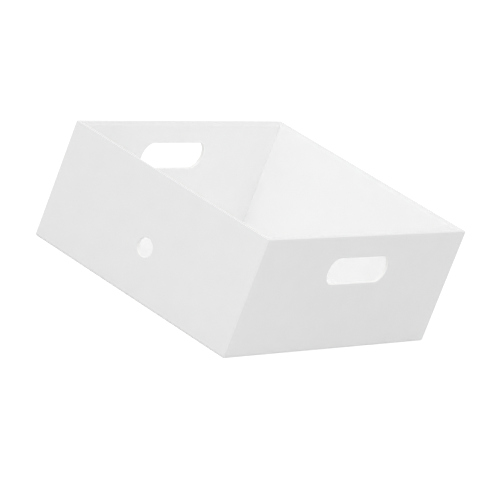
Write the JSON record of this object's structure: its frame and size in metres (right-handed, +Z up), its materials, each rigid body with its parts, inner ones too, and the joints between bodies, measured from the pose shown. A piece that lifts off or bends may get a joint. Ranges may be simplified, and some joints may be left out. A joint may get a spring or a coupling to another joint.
{
  "type": "file storage box",
  "caption": "Open-topped rectangular file storage box of paper-covered board, with a hand hole in each long wall and a round finger hole in one end, for papers and files.",
  "frame": {"origin": "middle of the underside of the base sheet, on the surface that the box stands on", "axes": "+X to the right long wall, +Y along the length to the plain rear end wall, +Z up; the end wall with the finger hole faces -Y"},
  "size_m": [0.25, 0.32, 0.12],
  "materials": {
    "board": "matt white board, dyed through",
    "tape": "gummed paper tape",
    "cover_paper": "smooth matt coated white paper",
    "lining_paper": "smooth matt coated white paper",
    "base_paper": "plain uncoated white paper"
  },
  "bodies": {
    "root": {"base_board": "board", "front_board": "board", "right_side_board": "board", "rear_board": "board", "left_side_board": "board", "front_left_stay": "tape", "front_right_stay": "tape", "rear_right_stay": "tape", "rear_left_stay": "tape", "front_base_stay": "tape", "right_base_stay": "tape", "rear_base_stay": "tape", "left_base_stay": "tape", "wall_wrap": "cover_paper", "front_lining": "lining_paper", "right_side_lining": "lining_paper", "rear_lining": "lining_paper", "left_side_lining": "lining_paper", "floor_lining": "lining_paper", "base_sheet": "base_paper"}
  },
  "joints": []
}
